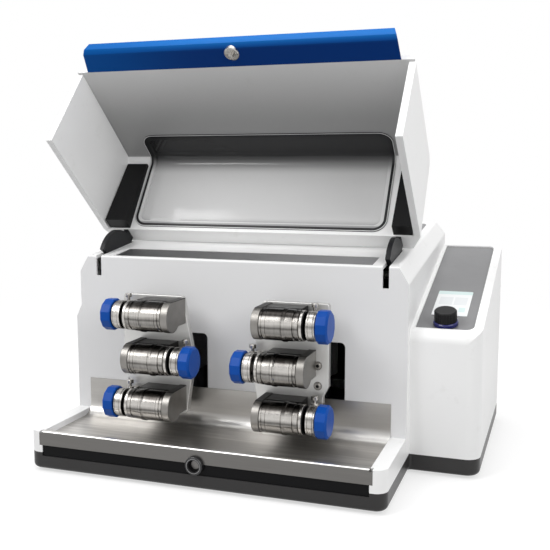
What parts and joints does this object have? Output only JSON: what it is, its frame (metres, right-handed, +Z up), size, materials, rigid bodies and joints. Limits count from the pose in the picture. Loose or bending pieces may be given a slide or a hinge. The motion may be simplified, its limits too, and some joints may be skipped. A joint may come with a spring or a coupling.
{
  "type": "laboratory mixer mill",
  "caption": "Bench mixer mill with clamped grinding jars on two swing arms, a steel tray, a hinged windowed lid, and a side control column with display and knob.",
  "frame": {"origin": "on the bench under the middle of the machine's outline with the lid open", "axes": "+X to the operator's right along the width, +Y to the machine's rear, +Z up"},
  "size_m": [0.69, 0.553, 0.6912],
  "materials": {
    "white_housing": "satin",
    "dark_base": "satin",
    "foot_rubber": "matte",
    "grey_panel": "satin",
    "strip_grey": "matte",
    "tray_steel": "brushed",
    "seal_black": "matte",
    "black_part": "matte",
    "frame_iron": "painted",
    "motor_body": "matte",
    "shaft_steel": "polished",
    "arm_alu": "anodised",
    "jar_steel": "polished",
    "knob_blue": "satin",
    "bar_blue": "gloss",
    "pane": "tinted",
    "display_glass": "gloss",
    "ring_blue": "gloss",
    "arm_grey": "satin"
  },
  "bodies": {
    "machine": {"base_pan": "dark_base", "rubber_feet": "foot_rubber", "chamber_body": "white_housing", "housing_shell": "white_housing", "recess_strip": "strip_grey", "top_inset_panel": "grey_panel", "hinge_shaft": "shaft_steel", "chamber_tray": "tray_steel", "front_seal": "seal_black", "lock_receptacle": "shaft_steel", "rear_panel": "dark_base", "fan_guard": "shaft_steel", "mains_inlet": "black_part", "column_housing": "white_housing", "column_panel": "grey_panel", "display_screen": "display_glass", "drive_frame": "frame_iron", "drive_motor": "motor_body"},
    "lid": {"lid_shell": "white_housing", "lid_window": "pane", "window_seal": "seal_black", "handle_bar": "bar_blue", "lock_bolt": "shaft_steel", "hinge_arm_left": "arm_grey", "hinge_arm_right": "arm_grey", "arm_cover_left": "black_part", "arm_cover_right": "black_part"},
    "swing_arm_left": {"swing_plate_left": "arm_alu", "swing_beam_left": "arm_alu", "jar_1": "jar_steel", "jar_2": "jar_steel", "jar_3": "jar_steel"},
    "swing_arm_right": {"swing_plate_right": "arm_alu", "swing_beam_right": "arm_alu", "jar_4": "jar_steel", "jar_5": "jar_steel", "jar_6": "jar_steel"},
    "knob_carrier": {"knob_ring": "ring_blue"},
    "turn_knob": {"control_knob": "black_part"},
    "switch_rocker": {"power_switch": "black_part"},
    "fan": {"fan_rotor": "black_part"},
    "eccentric": {"eccentric_shaft": "shaft_steel"},
    "clamp_1": {"clamp_pad_1": "shaft_steel"},
    "grip_1": {"clamp_knob_1": "knob_blue"},
    "pin_1": {"lock_pin_1": "shaft_steel"},
    "clamp_4": {"clamp_pad_4": "shaft_steel"},
    "grip_4": {"clamp_knob_4": "knob_blue"},
    "pin_4": {"lock_pin_4": "shaft_steel"},
    "clamp_2": {"clamp_pad_2": "shaft_steel"},
    "grip_2": {"clamp_knob_2": "knob_blue"},
    "pin_2": {"lock_pin_2": "shaft_steel"},
    "clamp_5": {"clamp_pad_5": "shaft_steel"},
    "grip_5": {"clamp_knob_5": "knob_blue"},
    "pin_5": {"lock_pin_5": "shaft_steel"},
    "clamp_3": {"clamp_pad_3": "shaft_steel"},
    "grip_3": {"clamp_knob_3": "knob_blue"},
    "pin_3": {"lock_pin_3": "shaft_steel"},
    "clamp_6": {"clamp_pad_6": "shaft_steel"},
    "grip_6": {"clamp_knob_6": "knob_blue"},
    "pin_6": {"lock_pin_6": "shaft_steel"}
  },
  "joints": [
    {"name": "lid_hinge", "type": "hinge", "parent": "machine", "child": "lid", "pos_m": [-0.0545, -0.055, 0.315], "axis": [1, 0, 0], "range_deg": [0, 131.5]},
    {"name": "swing_left", "type": "hinge", "parent": "machine", "child": "swing_arm_left", "pos_m": [-0.172, 0.0015, 0.163], "axis": [0, 0, 1], "range_deg": [-2.5, 2.5]},
    {"name": "swing_right", "type": "hinge", "parent": "machine", "child": "swing_arm_right", "pos_m": [0.063, 0.0015, 0.163], "axis": [0, 0, 1], "range_deg": [-2.5, 2.5]},
    {"name": "eccentric_spin", "type": "hinge", "parent": "machine", "child": "eccentric", "pos_m": [-0.0545, 0.0995, 0.144], "axis": [0, 0, 1], "continuous": true},
    {"name": "fan_spin", "type": "hinge", "parent": "machine", "child": "fan", "pos_m": [0.085, 0.2645, 0.15], "axis": [0, 1, 0], "continuous": true},
    {"name": "switch_rock", "type": "hinge", "parent": "machine", "child": "switch_rocker", "pos_m": [-0.237, 0.2705, 0.09], "axis": [1, 0, 0], "range_deg": [-8, 8]},
    {"name": "knob_press", "type": "slide", "parent": "machine", "child": "knob_carrier", "axis": [0, 0.2647, -0.9643], "range_m": [0, 0.001], "stiffness_N_per_m": 1500, "springref_m": -0.0005},
    {"name": "knob_turn", "type": "hinge", "parent": "knob_carrier", "child": "turn_knob", "pos_m": [0.286, -0.06934, 0.24473], "axis": [0, -0.2647, 0.9643], "continuous": true},
    {"name": "clamp_slide_1", "type": "slide", "parent": "swing_arm_left", "child": "clamp_1", "axis": [-1, 0, 0], "range_m": [0, 0.002]},
    {"name": "clamp_turn_1", "type": "hinge", "parent": "clamp_1", "child": "grip_1", "pos_m": [-0.235, -0.2035, 0.252], "axis": [-1, 0, 0], "range_deg": [0, 360]},
    {"name": "pin_slide_1", "type": "slide", "parent": "swing_arm_left", "child": "pin_1", "axis": [0, 0, 1], "range_m": [0, 0.004], "stiffness_N_per_m": 800, "springref_m": -0.001},
    {"name": "clamp_slide_4", "type": "slide", "parent": "swing_arm_right", "child": "clamp_4", "axis": [1, 0, 0], "range_m": [0, 0.002]},
    {"name": "clamp_turn_4", "type": "hinge", "parent": "clamp_4", "child": "grip_4", "pos_m": [0.126, -0.2035, 0.252], "axis": [1, 0, 0], "range_deg": [0, 360]},
    {"name": "pin_slide_4", "type": "slide", "parent": "swing_arm_right", "child": "pin_4", "axis": [0, 0, 1], "range_m": [0, 0.004], "stiffness_N_per_m": 800, "springref_m": -0.001},
    {"name": "clamp_slide_2", "type": "slide", "parent": "swing_arm_left", "child": "clamp_2", "axis": [1, 0, 0], "range_m": [0, 0.002]},
    {"name": "clamp_turn_2", "type": "hinge", "parent": "clamp_2", "child": "grip_2", "pos_m": [-0.09, -0.2035, 0.182], "axis": [1, 0, 0], "range_deg": [0, 360]},
    {"name": "pin_slide_2", "type": "slide", "parent": "swing_arm_left", "child": "pin_2", "axis": [0, 0, 1], "range_m": [0, 0.004], "stiffness_N_per_m": 800, "springref_m": -0.001},
    {"name": "clamp_slide_5", "type": "slide", "parent": "swing_arm_right", "child": "clamp_5", "axis": [-1, 0, 0], "range_m": [0, 0.002]},
    {"name": "clamp_turn_5", "type": "hinge", "parent": "clamp_5", "child": "grip_5", "pos_m": [-0.019, -0.2035, 0.182], "axis": [-1, 0, 0], "range_deg": [0, 360]},
    {"name": "pin_slide_5", "type": "slide", "parent": "swing_arm_right", "child": "pin_5", "axis": [0, 0, 1], "range_m": [0, 0.004], "stiffness_N_per_m": 800, "springref_m": -0.001},
    {"name": "clamp_slide_3", "type": "slide", "parent": "swing_arm_left", "child": "clamp_3", "axis": [-1, 0, 0], "range_m": [0, 0.002]},
    {"name": "clamp_turn_3", "type": "hinge", "parent": "clamp_3", "child": "grip_3", "pos_m": [-0.235, -0.2035, 0.108], "axis": [-1, 0, 0], "range_deg": [0, 360]},
    {"name": "pin_slide_3", "type": "slide", "parent": "swing_arm_left", "child": "pin_3", "axis": [0, 0, 1], "range_m": [0, 0.004], "stiffness_N_per_m": 800, "springref_m": -0.001},
    {"name": "clamp_slide_6", "type": "slide", "parent": "swing_arm_right", "child": "clamp_6", "axis": [1, 0, 0], "range_m": [0, 0.002]},
    {"name": "clamp_turn_6", "type": "hinge", "parent": "clamp_6", "child": "grip_6", "pos_m": [0.126, -0.2035, 0.108], "axis": [1, 0, 0], "range_deg": [0, 360]},
    {"name": "pin_slide_6", "type": "slide", "parent": "swing_arm_right", "child": "pin_6", "axis": [0, 0, 1], "range_m": [0, 0.004], "stiffness_N_per_m": 800, "springref_m": -0.001}
  ],
  "couplings": [
    {"joint": "swing_right", "follows": "swing_left", "ratio": -1},
    {"joint": "clamp_slide_1", "follows": "clamp_turn_1", "m_per_rad": 0.00031831},
    {"joint": "clamp_slide_4", "follows": "clamp_turn_4", "m_per_rad": 0.00031831},
    {"joint": "clamp_slide_2", "follows": "clamp_turn_2", "m_per_rad": 0.00031831},
    {"joint": "clamp_slide_5", "follows": "clamp_turn_5", "m_per_rad": 0.00031831},
    {"joint": "clamp_slide_3", "follows": "clamp_turn_3", "m_per_rad": 0.00031831},
    {"joint": "clamp_slide_6", "follows": "clamp_turn_6", "m_per_rad": 0.00031831}
  ]
}
